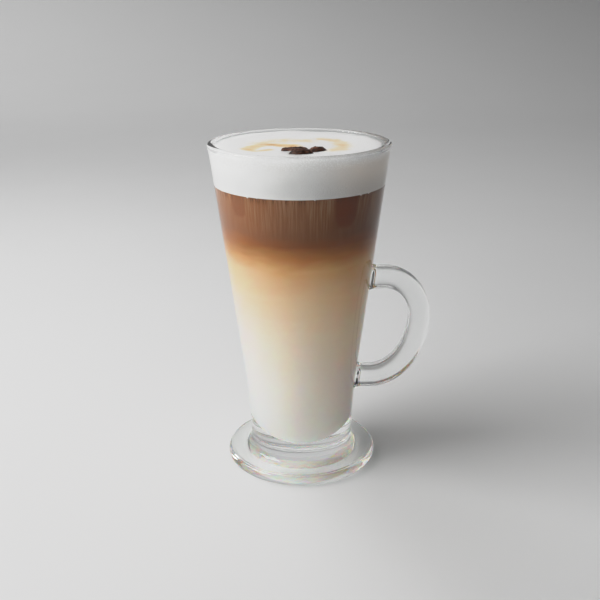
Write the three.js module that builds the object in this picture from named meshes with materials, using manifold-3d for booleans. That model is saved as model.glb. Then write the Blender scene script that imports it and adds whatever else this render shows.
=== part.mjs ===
// A layered latte in its tall footed glass: milk at the bottom, coffee above it, a cap of milk foam up to
// the lip, and roasted coffee beans pressed into the foam. The glass is one piece with its handle.
// Millimetres, +Z up. The origin is the middle of the foot's underside, and the handle points along +X.
import * as THREE from "three";
import { mergeVertices } from "three/addons/utils/BufferGeometryUtils.js";
import Module from "manifold-3d";

// Outside of the glass, from the foot to the lip
const HEIGHT = 150;
const FOOT_RADIUS = 35.1;
const FOOT_REST_RADIUS = 33.4;
const FOOT_EDGE_HEIGHT = 4.7;
const FOOT_SHOULDER_RADIUS = 32.5;
const FOOT_SHOULDER_HEIGHT = 5;
const NECK_RADIUS = 23.9;
const NECK_HEIGHT = 12.5;
const NECK_LEAN = 0.04;
const FILLET_FULLNESS = 0.8;
const CONE_FOOT_RADIUS = 26.05;
const CONE_FOOT_HEIGHT = 42;
const CONE_TOP_RADIUS = 38.82;
const CONE_TOP_HEIGHT = 143;
const RIM_RADIUS = 39.85;
const LIP_THICKNESS = 3.4;
const LIP_RISE = 0.7;

// Inside of the glass: a straight wall that curves in to a round bottom, so that the glass is thick there
const WALL = 2.92;
const FLOOR_HEIGHT = 9.5;
const BOWL_ROUND_START = 70;
const BOWL_ROUND_PULL = 45;
const BOWL_ROUND_WIDTH = 22.5;

// Handle: a rod with rounded flat sides, bent into an ear, with both roots spread where they meet the wall
const UPPER_ARM_HEIGHT = 88.3;
const LOWER_ARM_HEIGHT = 39.6;
const UPPER_BEND_START = 38.7;
const LOWER_BEND_END = 31.8;
const EAR_REACH = 54.7;
const EAR_WIDEST_HEIGHT = 70;
const ROD_HALF_THICKNESS = 4.8;
const ROD_HALF_DEPTH = 4.8;
const ROD_ROUNDNESS = 0.4;
const ROOT_LENGTH = 3;
const ROOT_SPREAD_UP = 0.08;
const ROOT_SPREAD_ACROSS = 0.3;
const ROOT_START_INSIDE_WALL = 6;
const ROOT_EMBED = 1.4;
const ROOT_CORE_MARGIN = 12;

// Levels of the drink, and the gap kept between pieces that touch
const COFFEE_BASE = 110.6;
const FOAM_BASE = 132.2;
const FOAM_TOP = 149;
const FOAM_EDGE_TOP = 147.5;
const FOAM_EDGE_WIDTH = 1.5;
const GAP = 0.3;

// Coffee beans: a domed back, a flat face with a crease along it, and one tip a little slimmer
const BEAN_BACK_SHARE = 0.8;
const BEAN_TAPER = 0.08;
const CREASE_DEPTH_SHARE = 0.3;
const CREASE_HALF_WIDTH = 0.2;
const CREASE_WAVE = 0.12;
const FACE_DOWN = 0;
const FACE_UP = Math.PI;
const BEANS = [
  {
    name: "bean_left", length: 11.4, width: 6.4, thickness: 4.2,
    x: -2.2, y: -16.2, rise: 0.3, yaw: 16, flip: FACE_UP,
  },
  {
    name: "bean_right", length: 10, width: 6.2, thickness: 4.2,
    x: 7.3, y: -17.7, rise: -1.7, yaw: 22, flip: FACE_DOWN,
  },
  {
    name: "bean_front", length: 10.6, width: 6, thickness: 4,
    x: 0.8, y: -24.1, rise: -1.1, yaw: 6, flip: FACE_DOWN,
  },
];

// Fineness of the facets
const ROUND_SIDES = 64;
const CURVE_STEPS = 3;
const BOWL_STEPS = 10;
const ROD_SIDES = 24;
const ROD_STEPS = 54;
const BEAN_AROUND = 24;
const BEAN_ALONG = 14;
const MERGE_DISTANCE = 1e-4;

const wasm = await Module();
wasm.setup();

// A closed geometry as a solid that can be joined and cut
function solidOf(geometry) {
  const bare = new THREE.BufferGeometry();
  bare.setAttribute("position", geometry.getAttribute("position"));
  bare.setIndex(geometry.getIndex());
  const merged = mergeVertices(bare, MERGE_DISTANCE);
  const vertProperties = new Float32Array(merged.getAttribute("position").array);
  const triVerts = new Uint32Array(merged.getIndex().array);
  return new wasm.Manifold(new wasm.Mesh({ numProp: 3, vertProperties, triVerts }));
}

// A solid back as a geometry
function geometryOf(solid) {
  const { vertProperties, triVerts } = solid.getMesh();
  const geometry = new THREE.BufferGeometry();
  geometry.setAttribute("position", new THREE.BufferAttribute(vertProperties, 3));
  geometry.setIndex(new THREE.BufferAttribute(triVerts, 1));
  geometry.computeVertexNormals();
  return geometry;
}

// A profile of radius and height, from the axis to the axis, turned round +Z
function turned(profile) {
  return new THREE.LatheGeometry(profile.getPoints(CURVE_STEPS), ROUND_SIDES).rotateX(Math.PI / 2);
}

function named(name, geometry, color, roughness) {
  const material = new THREE.MeshStandardMaterial({ color, roughness, metalness: 0 });
  const mesh = new THREE.Mesh(geometry, material);
  mesh.name = name;
  return mesh;
}

// The straight cone of the wall, outside and inside
const CONE_SLOPE = (CONE_TOP_RADIUS - CONE_FOOT_RADIUS) / (CONE_TOP_HEIGHT - CONE_FOOT_HEIGHT);
const outerRadius = (height) => CONE_FOOT_RADIUS + CONE_SLOPE * (height - CONE_FOOT_HEIGHT);
const innerRadius = (height) => outerRadius(height) - WALL;

// The round bottom of the bowl, from its middle up to the straight wall, or the same at a clearance inside it
function bowlBottom(clearance) {
  const floor = FLOOR_HEIGHT + clearance;
  const curve = new THREE.CubicBezierCurve(
    new THREE.Vector2(0, floor),
    new THREE.Vector2(BOWL_ROUND_WIDTH - clearance, floor),
    new THREE.Vector2(innerRadius(BOWL_ROUND_PULL) - clearance, BOWL_ROUND_PULL),
    new THREE.Vector2(innerRadius(BOWL_ROUND_START) - clearance, BOWL_ROUND_START),
  );
  return curve.getPoints(BOWL_STEPS);
}

// Bowl, stem and foot of the glass as one turned profile
function glassBowl() {
  const edgeMiddle = FOOT_EDGE_HEIGHT / 2;
  const noseBelow = FOOT_RADIUS - FOOT_REST_RADIUS;
  const lipRadius = LIP_THICKNESS / 2;
  const lipMiddle = RIM_RADIUS - lipRadius;
  const filletReach = (FOOT_SHOULDER_RADIUS - NECK_RADIUS) * FILLET_FULLNESS;
  const filletRise = (NECK_HEIGHT - FOOT_SHOULDER_HEIGHT) * FILLET_FULLNESS;
  const waistThird = (CONE_FOOT_HEIGHT - NECK_HEIGHT) / 3;
  const path = new THREE.Path();
  path.moveTo(0, 0);
  path.lineTo(FOOT_REST_RADIUS, 0);
  path.absellipse(FOOT_REST_RADIUS, edgeMiddle, noseBelow, edgeMiddle, -Math.PI / 2, Math.PI / 2, false);
  path.lineTo(FOOT_SHOULDER_RADIUS, FOOT_SHOULDER_HEIGHT);
  path.bezierCurveTo(
    FOOT_SHOULDER_RADIUS - filletReach, FOOT_SHOULDER_HEIGHT,
    NECK_RADIUS, NECK_HEIGHT - filletRise,
    NECK_RADIUS, NECK_HEIGHT,
  );
  path.bezierCurveTo(
    NECK_RADIUS + NECK_LEAN * waistThird, NECK_HEIGHT + waistThird,
    CONE_FOOT_RADIUS - CONE_SLOPE * waistThird, CONE_FOOT_HEIGHT - waistThird,
    CONE_FOOT_RADIUS, CONE_FOOT_HEIGHT,
  );
  path.lineTo(CONE_TOP_RADIUS, CONE_TOP_HEIGHT);
  path.lineTo(RIM_RADIUS, HEIGHT - LIP_RISE);
  path.absellipse(lipMiddle, HEIGHT - LIP_RISE, lipRadius, LIP_RISE, 0, Math.PI, false);
  path.lineTo(innerRadius(CONE_TOP_HEIGHT), CONE_TOP_HEIGHT);
  for (const { x, y } of bowlBottom(0).reverse()) {
    path.lineTo(x, y);
  }
  return turned(path);
}

// The rod's middle line in the upright plane of the handle: an arm, two quarter ellipses and an arm
class EarLine extends THREE.Curve {
  constructor() {
    super();
    const upperStart = outerRadius(UPPER_ARM_HEIGHT) - ROOT_START_INSIDE_WALL;
    const lowerEnd = outerRadius(LOWER_ARM_HEIGHT) - ROOT_START_INSIDE_WALL;
    const upperSpan = EAR_REACH - UPPER_BEND_START;
    const lowerSpan = EAR_REACH - LOWER_BEND_END;
    const rise = UPPER_ARM_HEIGHT - EAR_WIDEST_HEIGHT;
    const drop = EAR_WIDEST_HEIGHT - LOWER_ARM_HEIGHT;
    const quarter = Math.PI / 2;
    this.flat = new THREE.Path();
    this.flat.moveTo(upperStart, UPPER_ARM_HEIGHT);
    this.flat.lineTo(UPPER_BEND_START, UPPER_ARM_HEIGHT);
    this.flat.absellipse(UPPER_BEND_START, EAR_WIDEST_HEIGHT, upperSpan, rise, quarter, 0, true);
    this.flat.absellipse(LOWER_BEND_END, EAR_WIDEST_HEIGHT, lowerSpan, drop, 0, -quarter, true);
    this.flat.lineTo(lowerEnd, LOWER_ARM_HEIGHT);
  }
  getPoint(share, target = new THREE.Vector3()) {
    const { x, y } = this.flat.getPoint(share);
    return target.set(x, 0, y);
  }
}

// Widens the rod towards the wall, as the soft glass spreads when it is pressed on
function spreadRoots(geometry) {
  const at = geometry.getAttribute("position");
  for (let i = 0; i < at.count; i++) {
    const [x, y, z] = [at.getX(i), at.getY(i), at.getZ(i)];
    const arm = z > EAR_WIDEST_HEIGHT ? UPPER_ARM_HEIGHT : LOWER_ARM_HEIGHT;
    const clear = x - outerRadius(z);
    const near = THREE.MathUtils.clamp(1 - clear / ROOT_LENGTH, 0, 1) ** 2;
    at.setY(i, y * (1 + ROOT_SPREAD_ACROSS * near));
    at.setZ(i, arm + (z - arm) * (1 + ROOT_SPREAD_UP * near));
  }
  return geometry;
}

// The rod's section: an oval at a roundness of 1, and squarer the lower it is
function rodSection() {
  const corners = [];
  for (let i = 0; i < ROD_SIDES; i++) {
    const turn = (i / ROD_SIDES) * 2 * Math.PI;
    const [across, along] = [Math.cos(turn), Math.sin(turn)].map(
      (side) => Math.sign(side) * Math.abs(side) ** ROD_ROUNDNESS,
    );
    corners.push(new THREE.Vector2(across * ROD_HALF_THICKNESS, along * ROD_HALF_DEPTH));
  }
  return new THREE.Shape(corners);
}

function handleRod() {
  const rod = new THREE.ExtrudeGeometry(rodSection(), { extrudePath: new EarLine(), steps: ROD_STEPS });
  return spreadRoots(rod);
}

// What lies inside the middle of the wall, which the roots must not reach
function wallCore() {
  const low = LOWER_ARM_HEIGHT - ROOT_CORE_MARGIN;
  const high = UPPER_ARM_HEIGHT + ROOT_CORE_MARGIN;
  const path = new THREE.Path();
  path.moveTo(0, low);
  path.lineTo(outerRadius(low) - ROOT_EMBED, low);
  path.lineTo(outerRadius(high) - ROOT_EMBED, high);
  path.lineTo(0, high);
  return turned(path);
}

function glass() {
  const rod = solidOf(handleRod()).subtract(solidOf(wallCore()));
  return geometryOf(solidOf(glassBowl()).add(rod));
}

// Milk: fills the rounded bottom of the glass up to the coffee
function milk() {
  const path = new THREE.Path(bowlBottom(GAP));
  path.lineTo(innerRadius(COFFEE_BASE) - GAP, COFFEE_BASE);
  path.lineTo(0, COFFEE_BASE);
  return turned(path);
}

// Coffee: a disc of the cone between the milk and the foam
function coffee() {
  const low = COFFEE_BASE + GAP;
  const path = new THREE.Path();
  path.moveTo(0, low);
  path.lineTo(innerRadius(low) - GAP, low);
  path.lineTo(innerRadius(FOAM_BASE) - GAP, FOAM_BASE);
  path.lineTo(0, FOAM_BASE);
  return turned(path);
}

// A bean lies along X with its flat face down, its tips at the poles of a sphere
function beanGeometry({ length, width, thickness }, margin = 0) {
  const geometry = new THREE.SphereGeometry(1, BEAN_AROUND, BEAN_ALONG);
  const at = geometry.getAttribute("position");
  const back = thickness * BEAN_BACK_SHARE + margin;
  const face = thickness * (1 - BEAN_BACK_SHARE) + margin;
  const crease = margin ? 0 : thickness * CREASE_DEPTH_SHARE;
  for (let i = 0; i < at.count; i++) {
    const [along, across, up] = [at.getY(i), -at.getX(i), at.getZ(i)];
    const offLine = (across - CREASE_WAVE * Math.sin(Math.PI * along)) / CREASE_HALF_WIDTH;
    const groove = crease * Math.max(0, -up) * Math.exp(-(offLine ** 2));
    at.setXYZ(
      i,
      along * (length / 2 + margin),
      across * (width / 2 + margin) * (1 - BEAN_TAPER * along),
      up * (up > 0 ? back : face) + groove,
    );
  }
  geometry.computeVertexNormals();
  return geometry;
}

// The bean's place on the foam: turned about +Z, and over onto its back where its crease shows
function placeBean(object, { x, y, rise, yaw, flip }) {
  object.position.set(x, y, FOAM_TOP + rise);
  object.rotation.set(flip, 0, THREE.MathUtils.degToRad(yaw), "ZYX");
  object.updateMatrix();
  return object;
}

// Foam: a thick cap with a round shoulder under the lip, and a dent under each bean
function foam() {
  const low = FOAM_BASE + GAP;
  const upLip = (FOAM_EDGE_TOP - CONE_TOP_HEIGHT) / (HEIGHT - LIP_RISE - CONE_TOP_HEIGHT);
  const wallInside = THREE.MathUtils.lerp(innerRadius(CONE_TOP_HEIGHT), RIM_RADIUS - LIP_THICKNESS, upLip);
  const edge = wallInside - GAP;
  const path = new THREE.Path();
  path.moveTo(0, low);
  path.lineTo(innerRadius(low) - GAP, low);
  path.lineTo(innerRadius(CONE_TOP_HEIGHT) - GAP, CONE_TOP_HEIGHT);
  path.lineTo(edge, FOAM_EDGE_TOP);
  path.quadraticCurveTo(edge, FOAM_TOP, edge - FOAM_EDGE_WIDTH, FOAM_TOP);
  path.lineTo(0, FOAM_TOP);
  let cap = solidOf(turned(path));
  for (const bean of BEANS) {
    const place = placeBean(new THREE.Object3D(), bean);
    cap = cap.subtract(solidOf(beanGeometry(bean, GAP).applyMatrix4(place.matrix)));
  }
  return geometryOf(cap);
}

const latte = new THREE.Group();
latte.add(named("glass", glass(), 0xe4ebe9, 0.03));
latte.add(named("milk", milk(), 0xe2d3b6, 0.35));
latte.add(named("coffee", coffee(), 0x7c553b, 0.35));
latte.add(named("foam", foam(), 0xf2f0ec, 0.7));
for (const bean of BEANS) {
  latte.add(placeBean(named(bean.name, beanGeometry(bean), 0x3a251d, 0.45), bean));
}

export default latte;
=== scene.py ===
import math

import bpy
import numpy as np
from mathutils import Matrix, Vector, noise
from mathutils.bvhtree import BVHTree


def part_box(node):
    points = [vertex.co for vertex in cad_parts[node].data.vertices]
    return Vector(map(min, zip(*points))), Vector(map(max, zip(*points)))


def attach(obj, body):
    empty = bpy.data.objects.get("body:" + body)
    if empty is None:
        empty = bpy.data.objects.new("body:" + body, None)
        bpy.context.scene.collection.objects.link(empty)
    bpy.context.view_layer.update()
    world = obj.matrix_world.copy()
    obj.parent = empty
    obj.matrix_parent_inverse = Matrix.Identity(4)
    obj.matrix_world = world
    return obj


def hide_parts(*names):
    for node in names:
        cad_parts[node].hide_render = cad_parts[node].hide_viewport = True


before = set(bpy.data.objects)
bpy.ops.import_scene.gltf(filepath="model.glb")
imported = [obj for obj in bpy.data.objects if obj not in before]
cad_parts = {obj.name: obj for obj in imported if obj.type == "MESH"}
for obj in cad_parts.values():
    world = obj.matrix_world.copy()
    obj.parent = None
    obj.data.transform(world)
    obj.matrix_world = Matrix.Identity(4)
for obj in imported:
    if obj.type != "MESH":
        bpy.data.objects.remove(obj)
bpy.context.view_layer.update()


# The glass: a tall bowl on a short stem and a thick foot, with an ear handle on its side.
# It is clear soda glass, pressed in a mould. The ends of the handle's rod are pressed onto the wall while
# the glass is soft, so they spread there and become one piece with it.
glass_low, glass_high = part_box("glass")
GLASS_HEIGHT = glass_high.z
RIM_RADIUS = -glass_low.x
FOOT_RADIUS = 0.0351
FOOT_REST_RADIUS = 0.0334
FOOT_EDGE_HEIGHT = 0.0047
FOOT_SHOULDER_RADIUS = 0.0325
FOOT_SHOULDER_HEIGHT = 0.005
NECK_RADIUS = 0.0239
NECK_HEIGHT = 0.0125
NECK_LEAN = 0.04
FILLET_FULLNESS = 0.8
CONE_FOOT_RADIUS = 0.02605
CONE_FOOT_HEIGHT = 0.042
CONE_TOP_RADIUS = 0.03882
CONE_TOP_HEIGHT = 0.143
LIP_THICKNESS = 0.0034
LIP_RISE = 0.0007
WALL = 0.00292
GLASS_FLOOR_HEIGHT = 0.0095
BOWL_ROUND_START = 0.070
BOWL_ROUND_PULL = 0.045
BOWL_ROUND_WIDTH = 0.0225
UPPER_ARM_HEIGHT = 0.0883
LOWER_ARM_HEIGHT = 0.0396
UPPER_BEND_START = 0.0387
LOWER_BEND_END = 0.0318
EAR_WIDEST_HEIGHT = 0.07
ROD_HALF_THICKNESS = 0.0048
ROD_HALF_DEPTH = 0.0048
ROD_ROUNDNESS = 0.4
EAR_REACH = glass_high.x - ROD_HALF_THICKNESS
ROOT_LENGTH = 0.003
ROOT_SPREAD_UP = 0.08
ROOT_SPREAD_ACROSS = 0.3
ROOT_START_INSIDE_WALL = 0.006
ROOT_EMBED = 0.0014
ROOT_CORE_MARGIN = 0.012
ROUND_SIDES = 256
ROD_SIDES = 96
WALL_ROWS = 100
AXIS_RADIUS = 1e-7
MERGE_DISTANCE = 1e-6
SEAM_ANGLE = math.radians(50)
GLASS_TINTS = [(0.0, (0.975, 0.985, 0.98)), (1.0, (0.99, 0.995, 0.992))]
PASSING_TINTS = [(0.0, (0.955, 0.96, 0.957)), (1.0, (0.5, 0.52, 0.51))]
CONE_SLOPE = (CONE_TOP_RADIUS - CONE_FOOT_RADIUS) / (CONE_TOP_HEIGHT - CONE_FOOT_HEIGHT)


def outer_radius(height):
    return CONE_FOOT_RADIUS + CONE_SLOPE * (height - CONE_FOOT_HEIGHT)


def inner_radius(height):
    return outer_radius(height) - WALL


def straight(start, end, steps):
    """Points of a straight line, both ends among them."""
    return [tuple(point) for point in np.linspace(start, end, steps + 1)]


def arc(middle, radii, start, end, steps):
    """Points of an arc of an ellipse, from one angle to another."""
    angles = np.linspace(start, end, steps + 1)
    return [(middle[0] + radii[0] * math.cos(a), middle[1] + radii[1] * math.sin(a)) for a in angles]


def bezier(corners, steps):
    """Points of a curve that starts at the first corner and ends at the fourth."""
    a, b, c, d = (np.array(corner) for corner in corners)
    shares = np.linspace(0, 1, steps + 1)
    points = [
        (1 - t) ** 3 * a + 3 * t * (1 - t) ** 2 * b + 3 * t * t * (1 - t) * c + t**3 * d for t in shares
    ]
    return [tuple(point) for point in points]


def bowl_bottom(reach, steps):
    """The round bottom of the bowl, from its middle up to the straight wall, moved outwards by a reach."""
    floor = GLASS_FLOOR_HEIGHT - reach
    return bezier(
        [
            (0, floor),
            (BOWL_ROUND_WIDTH + reach, floor),
            (inner_radius(BOWL_ROUND_PULL) + reach, BOWL_ROUND_PULL),
            (inner_radius(BOWL_ROUND_START) + reach, BOWL_ROUND_START),
        ],
        steps,
    )


def glass_profile():
    """Radius and height from the middle of the underside, over the lip, to the middle of the inside."""
    edge_middle = FOOT_EDGE_HEIGHT / 2
    lip_radius = LIP_THICKNESS / 2
    lip_middle = (RIM_RADIUS - lip_radius, GLASS_HEIGHT - LIP_RISE)
    shoulder = (FOOT_SHOULDER_RADIUS, FOOT_SHOULDER_HEIGHT)
    neck = (NECK_RADIUS, NECK_HEIGHT)
    cone_foot = (CONE_FOOT_RADIUS, CONE_FOOT_HEIGHT)
    cone_top = (CONE_TOP_RADIUS, CONE_TOP_HEIGHT)
    fillet_reach = (FOOT_SHOULDER_RADIUS - NECK_RADIUS) * FILLET_FULLNESS
    fillet_rise = (NECK_HEIGHT - FOOT_SHOULDER_HEIGHT) * FILLET_FULLNESS
    waist_third = (CONE_FOOT_HEIGHT - NECK_HEIGHT) / 3
    nose = (FOOT_RADIUS - FOOT_REST_RADIUS, edge_middle)
    points = straight((0, 0), (FOOT_REST_RADIUS, 0), 12)
    points += arc((FOOT_REST_RADIUS, edge_middle), nose, -math.pi / 2, math.pi / 2, 16)
    points += straight(points[-1], shoulder, 3)
    points += bezier(
        [
            shoulder,
            (FOOT_SHOULDER_RADIUS - fillet_reach, FOOT_SHOULDER_HEIGHT),
            (NECK_RADIUS, NECK_HEIGHT - fillet_rise),
            neck,
        ],
        14,
    )
    points += bezier(
        [
            neck,
            (NECK_RADIUS + NECK_LEAN * waist_third, NECK_HEIGHT + waist_third),
            (CONE_FOOT_RADIUS - CONE_SLOPE * waist_third, CONE_FOOT_HEIGHT - waist_third),
            cone_foot,
        ],
        14,
    )
    points += straight(cone_foot, cone_top, WALL_ROWS)
    points += straight(cone_top, (RIM_RADIUS, lip_middle[1]), 4)
    points += arc(lip_middle, (lip_radius, LIP_RISE), 0, math.pi, 24)
    points += straight(points[-1], (inner_radius(CONE_TOP_HEIGHT), CONE_TOP_HEIGHT), 4)
    bottom = bowl_bottom(0, 40)[::-1]
    points += straight(points[-1], bottom[0], 24)
    points += bottom
    return points


def handle_line():
    """The rod's middle line in the upright plane of the handle: an arm, two quarter ellipses and an arm."""
    upper_start = outer_radius(UPPER_ARM_HEIGHT) - ROOT_START_INSIDE_WALL
    lower_end = outer_radius(LOWER_ARM_HEIGHT) - ROOT_START_INSIDE_WALL
    upper_bend = (EAR_REACH - UPPER_BEND_START, UPPER_ARM_HEIGHT - EAR_WIDEST_HEIGHT)
    lower_bend = (EAR_REACH - LOWER_BEND_END, EAR_WIDEST_HEIGHT - LOWER_ARM_HEIGHT)
    points = straight((upper_start, UPPER_ARM_HEIGHT), (UPPER_BEND_START, UPPER_ARM_HEIGHT), 24)
    points += arc((UPPER_BEND_START, EAR_WIDEST_HEIGHT), upper_bend, math.pi / 2, 0, 32)
    points += arc((LOWER_BEND_END, EAR_WIDEST_HEIGHT), lower_bend, 0, -math.pi / 2, 40)
    points += straight(points[-1], (lower_end, LOWER_ARM_HEIGHT), 24)
    return points


def upright_line(name, points):
    """A mesh of edges in the XZ plane, through points of radius and height, with repeated ones left out."""
    kept = [points[0]]
    for point in points[1:]:
        if math.dist(point, kept[-1]) > MERGE_DISTANCE:
            kept.append(point)
    mesh = bpy.data.meshes.new(name)
    edges = [(i, i + 1) for i in range(len(kept) - 1)]
    mesh.from_pydata([(radius, 0, height) for radius, height in kept], edges, [])
    return mesh


def add(tree, kind, inputs=None, **settings):
    """A node in a tree. An input is given as a plain value, or as the socket that feeds it."""
    made = tree.nodes.new(kind)
    for name, value in settings.items():
        setattr(made, name, value)
    for name, value in (inputs or {}).items():
        if isinstance(value, bpy.types.NodeSocket):
            tree.links.new(value, made.inputs[name])
        else:
            made.inputs[name].default_value = value
    return made


def sums(tree, operation, *values):
    """The socket of a Math node on up to three values or sockets."""
    return add(tree, "ShaderNodeMath", dict(enumerate(values)), operation=operation).outputs[0]


def position(tree):
    """A node with the parts of each point's position."""
    return add(tree, "ShaderNodeSeparateXYZ", {"Vector": add(tree, "GeometryNodeInputPosition").outputs[0]})


def new_shape_tree(name, inputs):
    """A Geometry Nodes tree with named inputs, and its input node."""
    tree = bpy.data.node_groups.new(name, "GeometryNodeTree")
    for socket_name, kind in inputs:
        tree.interface.new_socket(socket_name, in_out="INPUT", socket_type="NodeSocket" + kind)
    tree.interface.new_socket("Piece", in_out="OUTPUT", socket_type="NodeSocketGeometry")
    return tree, add(tree, "NodeGroupInput")


def end_shape_tree(tree, shape, finish):
    """The end of a tree: real faces, smooth, with their material."""
    real = add(tree, "GeometryNodeRealizeInstances", {"Geometry": shape})
    smooth = add(tree, "GeometryNodeSetShadeSmooth", {"Geometry": real.outputs["Geometry"]})
    finished = add(
        tree, "GeometryNodeSetMaterial", {"Geometry": smooth.outputs["Geometry"], "Material": finish}
    )
    add(tree, "NodeGroupOutput", {"Piece": finished.outputs["Geometry"]})


def turned_tree():
    """A profile in the XZ plane, turned round +Z."""
    tree, given = new_shape_tree(
        "turned_on_the_axis", [("Profile", "Geometry"), ("Sides", "Int"), ("Finish", "Material")]
    )
    laid = add(
        tree, "GeometryNodeTransform", {"Geometry": given.outputs["Profile"], "Rotation": (math.pi / 2, 0, 0)}
    )
    section = add(tree, "GeometryNodeMeshToCurve", {"Mesh": laid.outputs["Geometry"]})
    ring = add(
        tree,
        "GeometryNodeCurvePrimitiveCircle",
        {"Resolution": given.outputs["Sides"], "Radius": AXIS_RADIUS},
    )
    level = add(tree, "GeometryNodeSetCurveNormal", {"Curve": ring.outputs["Curve"]}, mode="Z_UP")
    swept = add(
        tree,
        "GeometryNodeCurveToMesh",
        {"Curve": level.outputs["Curve"], "Profile Curve": section.outputs["Curve"]},
    )
    closed = add(
        tree,
        "GeometryNodeMergeByDistance",
        {"Geometry": swept.outputs["Mesh"], "Distance": MERGE_DISTANCE},
    )
    end_shape_tree(tree, closed.outputs["Geometry"], given.outputs["Finish"])
    return tree


def rod_tree():
    """An oval rod along a line in the XZ plane, which spreads up and across where it nears the wall."""
    tree, given = new_shape_tree(
        "rod_with_spread_roots",
        [
            ("Line", "Geometry"),
            ("Sides", "Int"),
            ("Half Thickness", "Float"),
            ("Half Depth", "Float"),
            ("Roundness", "Float"),
            ("Root Length", "Float"),
            ("Spread Up", "Float"),
            ("Spread Across", "Float"),
            ("Finish", "Material"),
        ],
    )
    line = add(tree, "GeometryNodeMeshToCurve", {"Mesh": given.outputs["Line"]})
    ring = add(
        tree, "GeometryNodeCurvePrimitiveCircle", {"Resolution": given.outputs["Sides"], "Radius": 1.0}
    )
    corner = position(tree)
    half_sizes = {"X": given.outputs["Half Depth"], "Y": given.outputs["Half Thickness"]}
    squared = {}
    for axis, half_size in half_sizes.items():
        length = sums(tree, "POWER", sums(tree, "ABSOLUTE", corner.outputs[axis]), given.outputs["Roundness"])
        side = sums(tree, "SIGN", corner.outputs[axis])
        squared[axis] = sums(tree, "MULTIPLY", sums(tree, "MULTIPLY", length, side), half_size)
    outline = add(tree, "ShaderNodeCombineXYZ", squared)
    oval = add(
        tree,
        "GeometryNodeSetPosition",
        {"Geometry": ring.outputs["Curve"], "Position": outline.outputs["Vector"]},
    )
    rod = add(
        tree,
        "GeometryNodeCurveToMesh",
        {"Curve": line.outputs["Curve"], "Profile Curve": oval.outputs["Geometry"], "Fill Caps": True},
    )
    at = position(tree)
    wall_at_foot = CONE_FOOT_RADIUS - CONE_SLOPE * CONE_FOOT_HEIGHT
    wall = sums(tree, "MULTIPLY_ADD", at.outputs["Z"], CONE_SLOPE, wall_at_foot)
    clear = sums(tree, "SUBTRACT", at.outputs["X"], wall)
    share = sums(tree, "SUBTRACT", 1.0, sums(tree, "DIVIDE", clear, given.outputs["Root Length"]))
    limited = sums(tree, "MINIMUM", sums(tree, "MAXIMUM", share, 0.0), 1.0)
    near = sums(tree, "MULTIPLY", limited, limited)
    above = sums(tree, "GREATER_THAN", at.outputs["Z"], EAR_WIDEST_HEIGHT)
    arm = sums(tree, "MULTIPLY_ADD", above, UPPER_ARM_HEIGHT - LOWER_ARM_HEIGHT, LOWER_ARM_HEIGHT)
    off_arm = sums(tree, "SUBTRACT", at.outputs["Z"], arm)
    across = sums(tree, "MULTIPLY", near, given.outputs["Spread Across"])
    up = sums(tree, "MULTIPLY", near, given.outputs["Spread Up"])
    moves = {"Y": sums(tree, "MULTIPLY", at.outputs["Y"], across), "Z": sums(tree, "MULTIPLY", off_arm, up)}
    move = add(tree, "ShaderNodeCombineXYZ", moves)
    spread = add(
        tree, "GeometryNodeSetPosition", {"Geometry": rod.outputs["Mesh"], "Offset": move.outputs["Vector"]}
    )
    end_shape_tree(tree, spread.outputs["Geometry"], given.outputs["Finish"])
    return tree


def shown(name, mesh):
    """An object at the origin that shows a mesh."""
    piece = bpy.data.objects.new(name, mesh)
    bpy.context.scene.collection.objects.link(piece)
    return piece


def plain(piece):
    """Turns a piece's modifiers into a plain mesh."""
    bpy.context.view_layer.update()
    evaluated = piece.evaluated_get(bpy.context.evaluated_depsgraph_get())
    mesh = bpy.data.meshes.new_from_object(evaluated)
    piece.modifiers.clear()
    piece.data = mesh
    mesh.name = piece.name
    return piece


def grown(name, mesh, tree, values):
    """A plain piece that a Geometry Nodes tree makes from a starting mesh and its named inputs."""
    piece = shown(name, mesh)
    modifier = piece.modifiers.new("shape", "NODES")
    modifier.node_group = tree
    for item in tree.interface.items_tree:
        if item.in_out == "INPUT" and item.name in values:
            modifier[item.identifier] = values[item.name]
    return plain(piece)


def combined(piece, other, operation):
    """A piece joined with another or cut by it. The other one is used up."""
    modifier = piece.modifiers.new("join", "BOOLEAN")
    modifier.operation = operation
    modifier.solver = "EXACT"
    modifier.object = other
    plain(piece)
    bpy.data.objects.remove(other)
    return piece


def new_finish(name):
    """An empty material and its tree."""
    material = bpy.data.materials.new(name)
    material.use_nodes = True
    material.node_tree.nodes.clear()
    return material, material.node_tree


def cloud(tree, place, scale, detail, **inputs):
    """The socket of a soft random pattern, by its scale per metre and its fineness."""
    values = {"Vector": place, "Scale": scale, "Detail": detail, **inputs}
    return add(tree, "ShaderNodeTexNoise", values).outputs["Fac"]


def ranged(tree, value, start, end, low=0.0, high=1.0, **settings):
    """A socket that goes from low to high while a value goes from start to end."""
    limits = {"Value": value, "From Min": start, "From Max": end, "To Min": low, "To Max": high}
    return add(tree, "ShaderNodeMapRange", limits, **settings).outputs["Result"]


def ramped(tree, value, colours):
    """The socket of a colour that follows a value, by colours with their places from 0 to 1."""
    ramp = add(tree, "ShaderNodeValToRGB", {"Fac": value})
    stops = ramp.color_ramp.elements
    for place, _ in colours[1:-1]:
        stops.new(place)
    for stop, (place, colour) in zip(stops, colours):
        stop.position = place
        stop.color = (*colour, 1)
    return ramp.outputs["Color"]


def bumped(tree, height, strength, distance):
    """The normal of a surface with a fine relief."""
    values = {"Height": height, "Strength": strength, "Distance": distance}
    return add(tree, "ShaderNodeBump", values).outputs["Normal"]


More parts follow.
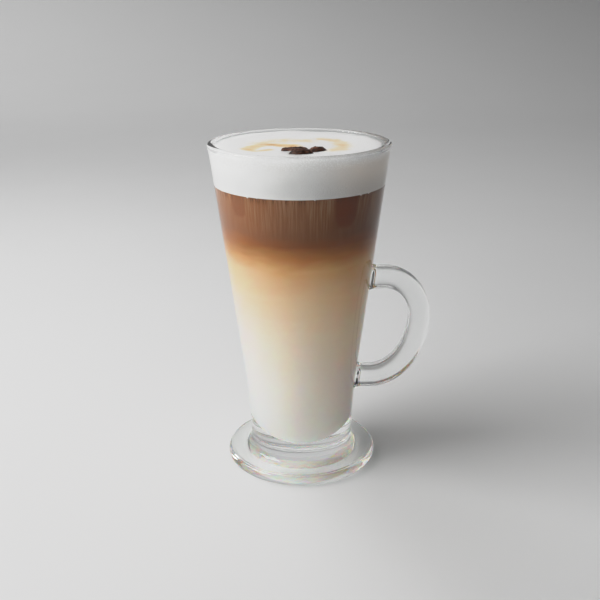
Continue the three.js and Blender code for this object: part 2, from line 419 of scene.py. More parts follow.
def clear_glass_finish():
    """Clear glass with the faint ripple of a pressed wall. Light that only passes through is let by."""
    material, tree = new_finish("clear_glass")
    place = add(tree, "ShaderNodeTexCoord").outputs["Object"]
    ripple = cloud(tree, place, 55.0, 1.0)
    smear = cloud(tree, place, 130.0, 4.0)
    glass = add(
        tree,
        "ShaderNodeBsdfPrincipled",
        {
            "Base Color": ramped(tree, ripple, GLASS_TINTS),
            "Roughness": ranged(tree, smear, 0.45, 0.8, 0.0, 0.03),
            "Normal": bumped(tree, ripple, 0.12, 0.0004),
            "Transmission Weight": 1.0,
            "IOR": 1.5,
        },
    )
    edge = add(tree, "ShaderNodeLayerWeight", {"Blend": 0.25})
    shade = ramped(tree, edge.outputs["Facing"], PASSING_TINTS)
    passing = add(tree, "ShaderNodeBsdfTransparent", {"Color": shade})
    ray = add(tree, "ShaderNodeLightPath")
    soft_ray = sums(tree, "MAXIMUM", ray.outputs["Is Shadow Ray"], ray.outputs["Is Diffuse Ray"])
    mixed = add(tree, "ShaderNodeMixShader", {0: soft_ray, 1: glass.outputs[0], 2: passing.outputs[0]})
    add(tree, "ShaderNodeOutputMaterial", {"Surface": mixed.outputs[0]})
    return material


glass_finish = clear_glass_finish()
turning = turned_tree()
glass = grown(
    "glass_with_handle",
    upright_line("glass_profile", glass_profile()),
    turning,
    {"Sides": ROUND_SIDES, "Finish": glass_finish},
)
handle = grown(
    "handle_rod",
    upright_line("handle_line", handle_line()),
    rod_tree(),
    {
        "Sides": ROD_SIDES,
        "Half Thickness": ROD_HALF_THICKNESS,
        "Half Depth": ROD_HALF_DEPTH,
        "Roundness": ROD_ROUNDNESS,
        "Root Length": ROOT_LENGTH,
        "Spread Up": ROOT_SPREAD_UP,
        "Spread Across": ROOT_SPREAD_ACROSS,
        "Finish": glass_finish,
    },
)
core_low = LOWER_ARM_HEIGHT - ROOT_CORE_MARGIN
core_high = UPPER_ARM_HEIGHT + ROOT_CORE_MARGIN
wall_core = grown(
    "wall_core",
    upright_line(
        "wall_core_profile",
        [
            (0, core_low),
            (outer_radius(core_low) - ROOT_EMBED, core_low),
            (outer_radius(core_high) - ROOT_EMBED, core_high),
            (0, core_high),
        ],
    ),
    turning,
    {"Sides": ROUND_SIDES, "Finish": glass_finish},
)
combined(handle, wall_core, "DIFFERENCE")
combined(glass, handle, "UNION")
glass.data.set_sharp_from_angle(angle=SEAM_ANGLE)
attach(glass, "root")
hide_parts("glass")


# The milk: hot milk, poured first, which fills the rounded bottom of the glass and takes on coffee near its
# top. It is lighter on the left, a painted light, and warmer and darker on the right, a painted shade. It
# wets the glass, so the piece reaches a little way into the wall and no air shows between them.
COFFEE_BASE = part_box("milk")[1].z
FOAM_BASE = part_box("coffee")[1].z
WALL_REACH = 0.00015
GLOW_DEPTH = 0.012
STREAK_COLOUR = (0.46, 0.27, 0.15, 1)
# The colour of strong coffee, painted in tongues where the glass mirrors something dark: a painted
# reflection.
REFLECTION_TONGUE_COLOUR = (0.155, 0.03, 0.001, 1)
TOOTH_COLOUR = (0.08, 0.025, 0.006, 1)
# The height of each layer, then its colour in the middle, on the left and on the right. The left colours are
# lighter, a painted light on the lit side, and the right ones warmer and darker, a painted shade.
LAYERS = [
    (0.010, (0.955, 0.92, 0.88), (0.95, 0.92, 0.895), (0.955, 0.91, 0.86)),
    (0.045, (0.95, 0.895, 0.80), (0.945, 0.865, 0.805), (0.96, 0.87, 0.74)),
    (0.070, (0.925, 0.80, 0.625), (0.92, 0.765, 0.645), (0.935, 0.765, 0.54)),
    (0.088, (0.87, 0.66, 0.41), (0.88, 0.64, 0.455), (0.86, 0.60, 0.33)),
    (0.100, (0.79, 0.48, 0.215), (0.82, 0.54, 0.31), (0.76, 0.42, 0.17)),
    (0.106, (0.57, 0.225, 0.05), (0.62, 0.30, 0.10), (0.53, 0.19, 0.042)),
    (0.1095, (0.41, 0.125, 0.024), (0.49, 0.175, 0.037), (0.38, 0.11, 0.02)),
    (0.1125, (0.26, 0.078, 0.0135), (0.345, 0.109, 0.018), (0.24, 0.067, 0.011)),
    (0.116, (0.19, 0.065, 0.0175), (0.26, 0.088, 0.021), (0.17, 0.054, 0.013)),
    (0.1325, (0.225, 0.084, 0.0265), (0.31, 0.113, 0.031), (0.20, 0.07, 0.02)),
]
MIDDLE_HALF_WIDTH = 0.003
SIDE_START = 0.026
WISP_RISE = 0.007
STREAKS_START = 0.02
STREAKS_FULL = 0.004
TEETH_LENGTH = 0.003


def mix_colours(tree, factor, first, second):
    """The socket of a colour between two, by a factor."""
    return add(tree, "ShaderNodeMix", {0: factor, 6: first, 7: second}, data_type="RGBA").outputs[2]


def towards_side(tree, place, side):
    """A factor that grows from 0 in the middle of the glass to 1 at its left, side -1, or right, side 1."""
    across = add(tree, "ShaderNodeSeparateXYZ", {"Vector": place}).outputs["X"]
    start, end = side * MIDDLE_HALF_WIDTH, side * SIDE_START
    return ranged(tree, across, start, end, interpolation_type="SMOOTHSTEP")


def painted(tree, name):
    """The socket of a value that is stored on a piece's points."""
    stored = add(tree, "ShaderNodeAttribute", attribute_name=name, attribute_type="GEOMETRY")
    return stored.outputs["Fac"]


def drink_colours():
    """Colour of the drink by height, with wisps where the layers meet and streaks that hang from the foam."""
    tree = bpy.data.node_groups.new("drink_layers", "ShaderNodeTree")
    tree.interface.new_socket("Colour", in_out="OUTPUT", socket_type="NodeSocketColor")
    place = add(tree, "ShaderNodeTexCoord").outputs["Object"]
    flattened = add(tree, "ShaderNodeMapping", {"Vector": place, "Scale": (1, 1, 4)})
    wisp = cloud(tree, flattened.outputs["Vector"], 48.0, 5.0, Distortion=0.6)
    height = add(tree, "ShaderNodeSeparateXYZ", {"Vector": place}).outputs["Z"]
    wisp_rise = sums(tree, "MULTIPLY", sums(tree, "SUBTRACT", wisp, 0.5), WISP_RISE)
    low, high = LAYERS[0][0], LAYERS[-1][0]
    share = ranged(tree, sums(tree, "ADD", height, wisp_rise), low, high)
    shades = []
    for column in (1, 2, 3):
        colours = [((layer[0] - low) / (high - low), layer[column]) for layer in LAYERS]
        shades.append(ramped(tree, share, colours))
    # Lighter on the left, a painted light, and warmer and darker on the right, a painted shade.
    layered_side_lit = mix_colours(tree, towards_side(tree, place, -1), shades[0], shades[1])
    layered_side_lit = mix_colours(tree, towards_side(tree, place, 1), layered_side_lit, shades[2])
    flat = add(tree, "ShaderNodeMapping", {"Vector": place, "Scale": (1, 1, 0)})
    around = add(tree, "ShaderNodeVectorMath", {0: flat.outputs["Vector"]}, operation="NORMALIZE")
    drift = add(tree, "ShaderNodeMapping", {"Vector": place, "Scale": (0, 0, 1.3)})
    parts = {0: around.outputs["Vector"], 1: drift.outputs["Vector"]}
    strand = add(tree, "ShaderNodeVectorMath", parts, operation="ADD")
    streak = cloud(tree, strand.outputs["Vector"], 62.0, 2.0)
    hanging = ranged(tree, height, FOAM_BASE - STREAKS_START, FOAM_BASE - STREAKS_FULL)
    bright = ranged(tree, streak, 0.45, 0.7, 0.0, 0.5)
    # Tongues of painted dark reflection take the colour of strong coffee, and the streaks stay out of them.
    reflection_tongue = painted(tree, "reflection_tongue")
    milky = ranged(tree, reflection_tongue, 0.2, 0.0)
    amount = sums(tree, "MULTIPLY", sums(tree, "MULTIPLY", hanging, bright), milky)
    drawn = mix_colours(tree, reflection_tongue, layered_side_lit, REFLECTION_TONGUE_COLOUR)
    combed = mix_colours(tree, amount, drawn, STREAK_COLOUR)
    at_foam = ranged(tree, height, FOAM_BASE - TEETH_LENGTH, FOAM_BASE)
    toothed = sums(tree, "MULTIPLY", at_foam, ranged(tree, streak, 0.5, 0.38))
    mixed = mix_colours(tree, toothed, combed, TOOTH_COLOUR)
    add(tree, "NodeGroupOutput", {"Colour": mixed})
    return tree


def drink_finish(name, layers, roughness, glow):
    """An opaque drink behind glass: its own colours, and next to no shine where it wets the wall."""
    material, tree = new_finish(name)
    colour = add(tree, "ShaderNodeGroup", node_tree=layers)
    place = add(tree, "ShaderNodeTexCoord").outputs["Object"]
    swirl = cloud(tree, place, 160.0, 3.0)
    drink = add(
        tree,
        "ShaderNodeBsdfPrincipled",
        {
            "Base Color": colour.outputs["Colour"],
            "Roughness": ranged(tree, swirl, 0.0, 1.0, roughness - 0.1, roughness + 0.1),
            "Normal": bumped(tree, swirl, 0.08, 0.0002),
            "Specular IOR Level": 0.05,
            "Subsurface Weight": glow,
            "Subsurface Radius": (1.8, 0.8, 0.4),
            "Subsurface Scale": GLOW_DEPTH,
        },
    )
    add(tree, "ShaderNodeOutputMaterial", {"Surface": drink.outputs[0]})
    return material


layers = drink_colours()
milk_profile = bowl_bottom(WALL_REACH, 40)
milk_profile += straight(milk_profile[-1], (inner_radius(COFFEE_BASE) + WALL_REACH, COFFEE_BASE), 40)
milk_profile += [(0, COFFEE_BASE)]
milk = grown(
    "milk_layer",
    upright_line("milk_profile", milk_profile),
    turning,
    {"Sides": ROUND_SIDES, "Finish": drink_finish("milk", layers, roughness=0.5, glow=1.0)},
)
milk.data.set_sharp_from_angle(angle=SEAM_ANGLE)
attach(milk, "root")
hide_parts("milk")


# The coffee: espresso, poured through the foam, which floats between the milk and the foam.
# Under the foam, tongues of a darker strong-coffee colour hang down the wall: a painted dark reflection.
# Each tongue's name, bearing from the front and half width in degrees, length and strength.
REFLECTION_TONGUES = [
    ("left", -46.0, 7.0, 0.0098, 0.3),
    ("right", 33.0, 9.5, 0.0135, 1.0),
    ("back", 150.0, 9.0, 0.0110, 0.9),
    ("back left", -118.0, 6.0, 0.0080, 0.5),
]
TONGUE_SHARPNESS = 2.5


def reflection_tongue_at(point):
    """How dark the painted reflection is at a place on the wall: 0 outside the tongues, up to 1 in a tongue.
    """
    fullest = 0.0
    bearing = math.degrees(math.atan2(point.x, -point.y))
    for _, middle, half_width, length, strength in REFLECTION_TONGUES:
        down = (FOAM_BASE - point.z) / length
        across = abs((bearing - middle + 180) % 360 - 180) / half_width
        inside = 1 - across**4 - max(0.0, down) ** 3
        fullest = max(fullest, strength * min(1.0, max(0.0, TONGUE_SHARPNESS * inside)))
    return fullest


coffee_foot = (inner_radius(COFFEE_BASE) + WALL_REACH, COFFEE_BASE)
coffee_edge = (inner_radius(FOAM_BASE) + WALL_REACH, FOAM_BASE)
coffee_profile = [(0, COFFEE_BASE), *straight(coffee_foot, coffee_edge, 48), (0, FOAM_BASE)]
coffee = grown(
    "coffee_layer",
    upright_line("coffee_profile", coffee_profile),
    turning,
    {"Sides": ROUND_SIDES, "Finish": drink_finish("coffee", layers, roughness=0.4, glow=0.0)},
)
reflection_tongue = coffee.data.attributes.new("reflection_tongue", "FLOAT", "POINT")
for point in coffee.data.vertices:
    reflection_tongue.data[point.index].value = reflection_tongue_at(point.co)
coffee.data.set_sharp_from_angle(angle=SEAM_ANGLE)
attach(coffee, "root")
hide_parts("coffee")


# The foam: a thick cap of finely steamed milk that fills the top of the glass, round where it meets the wall.
# It sets uneven, with a ring of coarser bubbles along the wall. The coffee poured through it leaves a swirl
# of crema on top, and the beans press dents into it.
FOAM_LIFT = 0.00002
FOAM_EDGE_TOP = 0.1475
FOAM_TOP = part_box("foam")[1].z
FOAM_EDGE_WIDTH = 0.0015
FOAM_SWELL = 0.0004
FOAM_SWELL_SIZE = 0.009
BEAN_NAMES = ("bean_left", "bean_right", "bean_front")
BEAN_SEAT = 0.0004
BEAD_BAND_START = 0.1415
BEAD_BAND_FULL = 0.1465
BEAD_STRENGTH = 0.26
EDGE_BAND = 0.006
GLOW_BAND = 0.004
WARM_DEPTH = 0.001
WARM_FULL_DEPTH = 0.004
FOAM_COLOURS = [(0.845, 0.835, 0.825, 1), (0.885, 0.877, 0.868, 1)]
# A lighter colour along the foam's lower edge by the coffee: a painted light.
FOAM_LOW_EDGE_LIGHT_COLOUR = (0.93, 0.922, 0.914, 1)
# A warm tint on the right side of the foam: a painted shade.
FOAM_WARM_SHADE_COLOUR = (0.91, 0.845, 0.795, 1)
# Bright bubble centres, a painted glint, and grey rims between them, a painted shade.
BEAD_GLINT_AND_SHADE_COLOURS = [(0.96, 0.96, 0.96, 1), (0.62, 0.6, 0.57, 1)]
CREMA_COLOURS = [
    (0.0, (0.86, 0.84, 0.8)),
    (0.35, (0.83, 0.68, 0.48)),
    (0.75, (0.8, 0.52, 0.26)),
    (1.0, (0.66, 0.37, 0.15)),
]
# Each stroke's name, half width, depth and line across the foam.
CREMA_STROKES = [
    ("swirl", 0.0036, 0.8, [(-0.0215, -0.0125), (-0.0195, -0.0075), (-0.0165, -0.0042), (-0.013, -0.0025)]),
    ("swirl end", 0.0038, 1.0, [(-0.013, -0.0025), (-0.01, -0.0022), (-0.0066, -0.0036), (-0.003, -0.006)]),
    ("inner", 0.0024, 0.6, [(-0.021, -0.015), (-0.018, -0.0171), (-0.0155, -0.016), (-0.0123, -0.0138)]),
    ("pale sweep", 0.007, 0.4, [(-0.017, 0.002), (-0.01, 0.0062), (-0.0041, 0.0077), (0.0025, 0.0064)]),
    ("far curl", 0.0044, 0.5, [(0.01, 0.0117), (0.0148, 0.0098), (0.0178, 0.0025), (0.0184, -0.0092)]),
    ("curl end", 0.0042, 0.5, [(0.0184, -0.0092), (0.017, -0.0165), (0.014, -0.018)]),
    ("curl core", 0.0028, 0.68, [(0.0178, -0.0015), (0.0184, -0.0095)]),
    ("drop", 0.0024, 0.5, [(-0.0175, 0.0325), (-0.0163, 0.0325)]),
]
BUBBLES_PER_AREA = 1.6e6
BUBBLE_LEAST_RADIUS = 0.00012
BUBBLE_MOST_RADIUS = 0.0006
BUBBLE_SMALLNESS = 3.0
BUBBLE_RING_WIDTH = 0.0016
BUBBLE_RING_FADE = 0.4
BUBBLE_LEAST_CROWDING = 0.06
BUBBLE_LEAST_UPWARD = 0.7
BUBBLE_SEED = 5


def crema_at(x, y):
    """How deep the crema lies at a place on the foam: nothing at 0, and thickest at 1."""
    deepest = 0.0
    place = Vector((x, y))
    for _, half_width, depth, line in CREMA_STROKES:
        for start, end in zip(line, line[1:]):
            start, end = Vector(start), Vector(end)
            along = min(max((place - start).dot(end - start) / (end - start).length_squared, 0.0), 1.0)
            off = (place - start - along * (end - start)).length / half_width
            deepest = max(deepest, depth * math.exp(-off * off))
    return deepest


def foam_finish():
    """Matt white foam that glows inside, with bubbles in painted glints and shade under the lip, and crema on
    top.
    """
    material, tree = new_finish("milk_foam")
    place = add(tree, "ShaderNodeTexCoord").outputs["Object"]
    height = add(tree, "ShaderNodeSeparateXYZ", {"Vector": place}).outputs["Z"]
    bubbles = add(tree, "ShaderNodeTexVoronoi", {"Vector": place, "Scale": 1700.0}).outputs["Distance"]
    relief = sums(tree, "ADD", bubbles, cloud(tree, place, 420.0, 4.0))
    tone = cloud(tree, place, 90.0, 5.0)
    milky = mix_colours(tree, tone, *FOAM_COLOURS)
    # Painted shade: the right side of the foam turns warm from a few millimetres below its top.
    on_wall = ranged(tree, height, FOAM_TOP - WARM_DEPTH, FOAM_TOP - WARM_FULL_DEPTH)
    warm_shade = sums(tree, "MULTIPLY", towards_side(tree, place, 1), on_wall)
    white = mix_colours(tree, warm_shade, milky, FOAM_WARM_SHADE_COLOUR)
    # Under the lip the bubble pattern gets painted glints in the bubbles' centres and painted shade at their
    # rims.
    under_lip = ranged(tree, height, BEAD_BAND_START, BEAD_BAND_FULL, interpolation_type="SMOOTHSTEP")
    bead_glint_and_shade = mix_colours(tree, ranged(tree, bubbles, 0.25, 0.55), *BEAD_GLINT_AND_SHADE_COLOURS)
    beaded = mix_colours(tree, sums(tree, "MULTIPLY", under_lip, BEAD_STRENGTH), white, bead_glint_and_shade)
    # Painted light: the foam is lighter along its lower edge by the coffee, but not under the painted warm
    # shade.
    by_coffee = ranged(tree, height, FOAM_BASE + EDGE_BAND, FOAM_BASE)
    by_coffee_left = sums(tree, "MULTIPLY", by_coffee, sums(tree, "SUBTRACT", 1.0, warm_shade))
    low_edge_lit = mix_colours(tree, by_coffee_left, beaded, FOAM_LOW_EDGE_LIGHT_COLOUR)
    fray = cloud(tree, place, 260.0, 6.0, Distortion=0.5)
    stain = sums(tree, "MULTIPLY", painted(tree, "crema"), ranged(tree, fray, 0.25, 0.7, 0.45))
    stained = ranged(tree, stain, 0.02, 0.3)
    brown = ramped(tree, stain, CREMA_COLOURS)
    glow = ranged(tree, height, FOAM_BASE, FOAM_BASE + GLOW_BAND)
    foam = add(
        tree,
        "ShaderNodeBsdfPrincipled",
        {
            "Base Color": mix_colours(tree, stained, low_edge_lit, brown),
            "Roughness": ranged(tree, tone, 0.3, 0.7, 0.45, 0.7),
            "Specular IOR Level": 0.25,
            "Normal": bumped(tree, relief, 0.35, 0.0003),
            "Subsurface Weight": sums(tree, "MULTIPLY", glow, sums(tree, "SUBTRACT", 1.0, stained)),
            "Subsurface Radius": (1.0, 1.0, 1.0),
            "Subsurface Scale": GLOW_DEPTH,
        },
    )
    add(tree, "ShaderNodeOutputMaterial", {"Surface": foam.outputs[0]})
    return material


def bubble_tree():
    """Bubbles of different sizes, half sunk in the top of the foam and closer together towards the wall."""
    tree, given = new_shape_tree(
        "bubbles_on_foam",
        [
            ("Foam", "Geometry"),
            ("Per Area", "Float"),
            ("Least Radius", "Float"),
            ("Most Radius", "Float"),
            ("Wall Radius", "Float"),
            ("Ring Width", "Float"),
            ("Seed", "Int"),
            ("Finish", "Material"),
        ],
    )
    facing = add(tree, "ShaderNodeSeparateXYZ", {"Vector": add(tree, "GeometryNodeInputNormal").outputs[0]})
    upward = sums(tree, "GREATER_THAN", facing.outputs["Z"], BUBBLE_LEAST_UPWARD)
    at = position(tree)
    flat = add(tree, "ShaderNodeCombineXYZ", {"X": at.outputs["X"], "Y": at.outputs["Y"]})
    off_axis = add(tree, "ShaderNodeVectorMath", {0: flat.outputs["Vector"]}, operation="LENGTH")
    to_wall = sums(tree, "SUBTRACT", given.outputs["Wall Radius"], off_axis.outputs["Value"])
    inward = sums(tree, "DIVIDE", to_wall, given.outputs["Ring Width"])
    ring = sums(tree, "POWER", BUBBLE_RING_FADE, sums(tree, "MAXIMUM", inward, 0.0))
    crowding = sums(tree, "ADD", ring, BUBBLE_LEAST_CROWDING)
    density = sums(tree, "MULTIPLY", given.outputs["Per Area"], crowding)
    places = add(
        tree,
        "GeometryNodeDistributePointsOnFaces",
        {
            "Mesh": given.outputs["Foam"],
            "Selection": upward,
            "Density": density,
            "Seed": given.outputs["Seed"],
        },
    )
    bubble = add(tree, "GeometryNodeMeshIcoSphere", {"Radius": 1.0, "Subdivisions": 2})
    draw = add(
        tree,
        "FunctionNodeRandomValue",
        {"Min": 0.0, "Max": 1.0, "Seed": given.outputs["Seed"]},
        data_type="FLOAT",
    ).outputs["Value"]
    spread = sums(tree, "SUBTRACT", given.outputs["Most Radius"], given.outputs["Least Radius"])
    share = sums(tree, "POWER", draw, BUBBLE_SMALLNESS)
    size = sums(tree, "MULTIPLY_ADD", share, spread, given.outputs["Least Radius"])
    scattered = add(
        tree,
        "GeometryNodeInstanceOnPoints",
        {"Points": places.outputs["Points"], "Instance": bubble.outputs["Mesh"], "Scale": size},
    )
    end_shape_tree(tree, scattered.outputs["Instances"], given.outputs["Finish"])
    return tree


up_lip = (FOAM_EDGE_TOP - CONE_TOP_HEIGHT) / (GLASS_HEIGHT - LIP_RISE - CONE_TOP_HEIGHT)
lip_inside = inner_radius(CONE_TOP_HEIGHT) * (1 - up_lip) + (RIM_RADIUS - LIP_THICKNESS) * up_lip + WALL_REACH
foam_base = FOAM_BASE + FOAM_LIFT
foam_profile = [(0, foam_base), (inner_radius(foam_base) + WALL_REACH, foam_base)]
foam_profile += straight(
    foam_profile[-1], (inner_radius(CONE_TOP_HEIGHT) + WALL_REACH, CONE_TOP_HEIGHT), 8
)
foam_profile += straight(foam_profile[-1], (lip_inside, FOAM_EDGE_TOP), 5)
foam_shoulder = (FOAM_EDGE_WIDTH, FOAM_TOP - FOAM_EDGE_TOP)
foam_profile += arc((lip_inside - FOAM_EDGE_WIDTH, FOAM_EDGE_TOP), foam_shoulder, 0, math.pi / 2, 10)
foam_profile += straight(foam_profile[-1], (0, FOAM_TOP), 80)
foam_white = foam_finish()
foam = grown(
    "foam_cap",
    upright_line("foam_profile", foam_profile),
    turning,
    {"Sides": ROUND_SIDES, "Finish": foam_white},
)
crema = foam.data.attributes.new("crema", "FLOAT", "POINT")
for point in foam.data.vertices:
    if point.co.z > FOAM_TOP - FOAM_SWELL:
        crema.data[point.index].value = crema_at(point.co.x, point.co.y)
        inside = min(1.0, (lip_inside - point.co.xy.length) / FOAM_EDGE_WIDTH)
        point.co.z += FOAM_SWELL * inside * noise.noise(point.co / FOAM_SWELL_SIZE)
for bean_name in BEAN_NAMES:
    pressed = BVHTree.FromObject(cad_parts[bean_name], bpy.context.evaluated_depsgraph_get())
    for point in foam.data.vertices:
        if point.co.z > FOAM_TOP - FOAM_SWELL:
            underside = pressed.ray_cast((point.co.x, point.co.y, FOAM_BASE), (0, 0, 1))[0]
            if underside:
                point.co.z = min(point.co.z, underside.z + BEAN_SEAT)
foam.data.set_sharp_from_angle(angle=SEAM_ANGLE)
bubbles = grown(
    "foam_bubbles",
    foam.data.copy(),
    bubble_tree(),
    {
        "Per Area": BUBBLES_PER_AREA,
        "Least Radius": BUBBLE_LEAST_RADIUS,
        "Most Radius": BUBBLE_MOST_RADIUS,
        "Wall Radius": lip_inside,
        "Ring Width": BUBBLE_RING_WIDTH,
        "Seed": BUBBLE_SEED,
        "Finish": foam_white,
    },
)
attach(foam, "root")
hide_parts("foam")
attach(bubbles, "root")


# The beans: three dark roasted coffee beans, pressed into the foam by hand, one with its crease up.
# Roasting leaves them wrinkled along their length and a little oily.
BEAN_MERGE = 1e-5
WRINKLE_DEPTH = 0.00032
WRINKLE_SIZE = 0.0017
WRINKLE_FADE = 0.8
WRINKLE_FINER = 2.2
WRINKLE_LAYERS = 3
PORE_DEPTH = 0.0001
PORE_SIZE = 0.0005
# Colours along the fine relief: roast brown on its ridges and, as painted shade, nearly black in its hollows.
BEAN_BROWNS_AND_HOLLOW_SHADE = [(0.34, (0.005, 0.002, 0.001)), (0.5, (0.042, 0.016, 0.008)), (0.7, (0.24, 0.098, 0.052))]


def bean_finish():
    """Dark roast: brown on the ridges, and nearly black in the wrinkles, a painted shade, with an oily sheen
    in patches.
    """
    material, tree = new_finish("roasted_bean")
    place = add(tree, "ShaderNodeTexCoord").outputs["Object"]
    grain = cloud(tree, place, 650.0, 5.0, Roughness=0.65)
    oil = cloud(tree, place, 300.0, 2.0)
    bean = add(
        tree,
        "ShaderNodeBsdfPrincipled",
        {
            "Base Color": ramped(tree, grain, BEAN_BROWNS_AND_HOLLOW_SHADE),
            "Roughness": ranged(tree, oil, 0.35, 0.65, 0.3, 0.6),
            "Normal": bumped(tree, grain, 0.6, 0.0004),
            "Specular IOR Level": 0.35,
            "Coat Weight": ranged(tree, oil, 0.4, 0.7, 0.0, 0.22),
            "Coat Roughness": 0.3,
        },
    )
    add(tree, "ShaderNodeOutputMaterial", {"Surface": bean.outputs[0]})
    return material


roasted = bean_finish()
for bean_name in BEAN_NAMES:
    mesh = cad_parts[bean_name].data.copy()
    mesh.name = bean_name + "_roasted"
    mesh.materials.clear()
    mesh.materials.append(roasted)
    bean = shown(bean_name + "_roasted", mesh)
    weld = bean.modifiers.new("weld", "WELD")
    weld.merge_threshold = BEAN_MERGE
    soft = bean.modifiers.new("round", "SUBSURF")
    soft.levels = 2
    soft.render_levels = 2
    plain(bean)
    outward = [point.normal.copy() for point in bean.data.vertices]
    for point, away in zip(bean.data.vertices, outward):
        wrinkle = noise.fractal(point.co / WRINKLE_SIZE, WRINKLE_FADE, WRINKLE_FINER, WRINKLE_LAYERS)
        pore = noise.noise(point.co / PORE_SIZE)
        point.co += away * (WRINKLE_DEPTH * wrinkle + PORE_DEPTH * pore)
    bean.data.shade_smooth()
    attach(bean, "root")
    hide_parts(bean_name)


# The floor: a wide sheet of matt white board that curves up far behind, where painted shade makes it greyer.
# It lies a hair below the foot, so that the two faces don't meet.
FLOOR_DROP = 0.0003
FLOOR_HALF_WIDTH = 4.0
FLOOR_FRONT = -4.0
SWEEP_START = 1.1
SWEEP_RADIUS = 1.2
NEAR_WHITES = [(0.76, 0.76, 0.76, 1), (0.8, 0.8, 0.8, 1)]
# The grey of painted shade where the board rises.
RISING_SHADE_GREY = (0.57, 0.57, 0.57, 1)
GREY_START = 0.01
GREY_FULL = 0.25


def floor_finish():
    """Matt board with a faint grain, with painted shade that makes it greyer where it rises."""
    material, tree = new_finish("matt_board")
    place = add(tree, "ShaderNodeTexCoord").outputs["Object"]
    tone = cloud(tree, place, 6.0, 3.0)
    grain = cloud(tree, place, 700.0, 2.0)
    height = add(tree, "ShaderNodeSeparateXYZ", {"Vector": place}).outputs["Z"]
    rise = ranged(tree, height, GREY_START, GREY_FULL)
    board = add(
        tree,
        "ShaderNodeBsdfPrincipled",
        {
            "Base Color": mix_colours(tree, rise, mix_colours(tree, tone, *NEAR_WHITES), RISING_SHADE_GREY),
            "Roughness": ranged(tree, tone, 0.0, 1.0, 0.6, 0.8),
            "Normal": bumped(tree, grain, 0.05, 0.0003),
            "Specular IOR Level": 0.2,
        },
    )
    add(tree, "ShaderNodeOutputMaterial", {"Surface": board.outputs[0]})
    return material


sweep = [(FLOOR_FRONT, 0.0), (SWEEP_START, 0.0)]
sweep += arc((SWEEP_START, SWEEP_RADIUS), (SWEEP_RADIUS, SWEEP_RADIUS), -math.pi / 2, -math.pi / 4, 16)[1:]
floor_mesh = bpy.data.meshes.new("floor")
corners = [(side * FLOOR_HALF_WIDTH, y, z - FLOOR_DROP) for y, z in sweep for side in (-1, 1)]
strips = [(2 * i, 2 * i + 1, 2 * i + 3, 2 * i + 2) for i in range(len(sweep) - 1)]
floor_mesh.from_pydata(corners, [], strips)
floor_mesh.shade_smooth()
floor_mesh.materials.append(floor_finish())
floor = shown("floor", floor_mesh)


# The light: a soft window to the left of the glass, with a paler pane in front of it and one above it.
# A wide lamp far behind lights the board where it curves up. A weak one stands in for the light that the
# thick foot gathers on the floor. The glass mirrors a dim room with a lighter wall up behind.
# Each lamp's name, place, direction, size and power, and whether the glass mirrors it.
LIGHTS = [
    ("window", (-0.6, -0.08, 0.57), (0.92, 0.39, 0), (0.48, 0.5), 5.3, True),
    ("front_pane", (-0.55, -0.55, 0.5), (0.7, 0.7, 0), (0.6, 0.7), 2.4, False),
    ("upper_pane", (-0.5, 0, 1.0), (0.6, 0, -0.8), (1.0, 0.5), 3.4, False),
    ("foot_glow", (0, 0, 0.004), (0, 0, -1), (0.05, 0.05), 0.0025, False),
    ("board_lamp", (-1.2, 2.0, 1.6), (0.3, 0.1, -1), (1.2, 1.2), 23.1, False),
]
ROOM_BRIGHTNESS = 0.15
GLINT_BRIGHTNESS = 0.15
WALL_BRIGHTNESS = 0.5
WALL_START = 0.1
WALL_FULL = 0.3
BACKDROP_GREY = 0.4
for light_name, place, facing, size, power, shines in LIGHTS:
    light = bpy.data.lights.new(light_name, "AREA")
    light.shape = "RECTANGLE"
    light.size, light.size_y = size
    light.energy = power
    lamp = bpy.data.objects.new(light_name, light)
    lamp.location = place
    lamp.rotation_euler = Vector(facing).to_track_quat("-Z", "Y").to_euler()
    lamp.visible_camera = False
    lamp.visible_glossy = shines
    lamp.visible_transmission = shines
    bpy.context.scene.collection.objects.link(lamp)

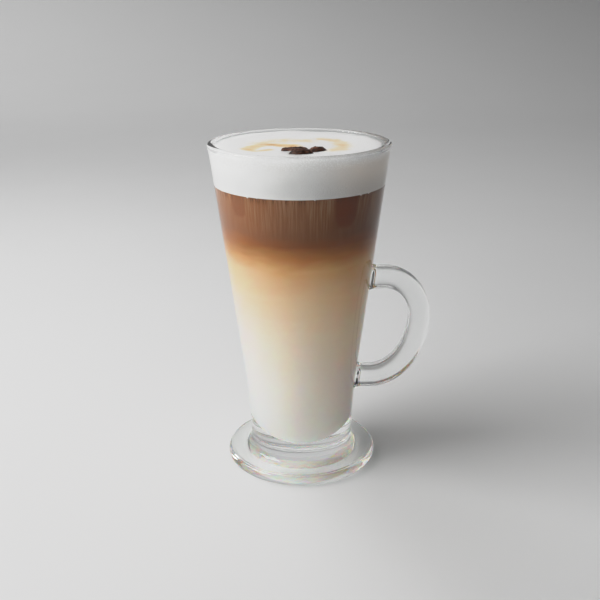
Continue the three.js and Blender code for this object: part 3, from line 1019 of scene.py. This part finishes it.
world = bpy.data.worlds.new("room")
world.use_nodes = True
tree = world.node_tree
tree.nodes.clear()
heading = add(tree, "ShaderNodeTexCoord").outputs["Generated"]
direction = add(tree, "ShaderNodeSeparateXYZ", {"Vector": heading}).outputs
in_front = sums(tree, "MAXIMUM", sums(tree, "MULTIPLY", direction["Y"], -1.0), 0.0)
lighting = sums(tree, "MULTIPLY", in_front, ROOM_BRIGHTNESS)
up_behind = sums(tree, "MULTIPLY", direction["Y"], direction["Z"])
glint = ranged(tree, up_behind, WALL_START, WALL_FULL, GLINT_BRIGHTNESS, WALL_BRIGHTNESS)
mirrored = add(tree, "ShaderNodeBackground", {"Color": glint, "Strength": 1.0})
spread = add(tree, "ShaderNodeBackground", {"Color": lighting, "Strength": 1.0})
ray = add(tree, "ShaderNodeLightPath").outputs
choices = {0: ray["Is Diffuse Ray"], 1: mirrored.outputs[0], 2: spread.outputs[0]}
room = add(tree, "ShaderNodeMixShader", choices)
backdrop = add(tree, "ShaderNodeBackground", {"Color": (1, 1, 1, 1), "Strength": BACKDROP_GREY})
views = {0: ray["Is Camera Ray"], 1: room.outputs[0], 2: backdrop.outputs[0]}
surround = add(tree, "ShaderNodeMixShader", views)
add(tree, "ShaderNodeOutputWorld", {"Surface": surround.outputs[0]})
bpy.context.scene.world = world


# The camera: a little above the lip, looking down at the front of the glass.
# Its picture holds back the brightest tones, and light is followed a long way through the glass.
CAMERA_PLACE = (-0.00022, -0.37607, 0.21103)
CAMERA_PITCH = math.radians(19.593)
CAMERA_ROLL = math.radians(0.4239)
CAMERA_LENS = 52.092
TONES = [(0.25, 0.262), (0.45, 0.475), (0.65, 0.67), (0.8, 0.735)]
TONE_END = (1.0, 0.8)
camera_data = bpy.data.cameras.new("camera")
camera_data.sensor_width = 36.0
camera_data.lens = CAMERA_LENS
camera_data.clip_start = 0.01
camera = bpy.data.objects.new("camera", camera_data)
looking = Matrix.Rotation(math.pi / 2 - CAMERA_PITCH, 4, "X") @ Matrix.Rotation(-CAMERA_ROLL, 4, "Z")
camera.matrix_world = Matrix.Translation(CAMERA_PLACE) @ looking
bpy.context.scene.collection.objects.link(camera)
bpy.context.scene.camera = camera
tones = bpy.context.scene.view_settings
tones.view_transform = "Standard"
tones.use_curve_mapping = True
tones.curve_mapping.extend = "EXTRAPOLATED"
response = tones.curve_mapping.curves[3]
response.points[1].location = TONE_END
for scene_tone, picture_tone in TONES:
    response.points.new(scene_tone, picture_tone)
tones.curve_mapping.update()
bounces = bpy.context.scene.cycles
bounces.max_bounces = 24
bounces.glossy_bounces = 20
bounces.transmission_bounces = 20
bounces.transparent_max_bounces = 16
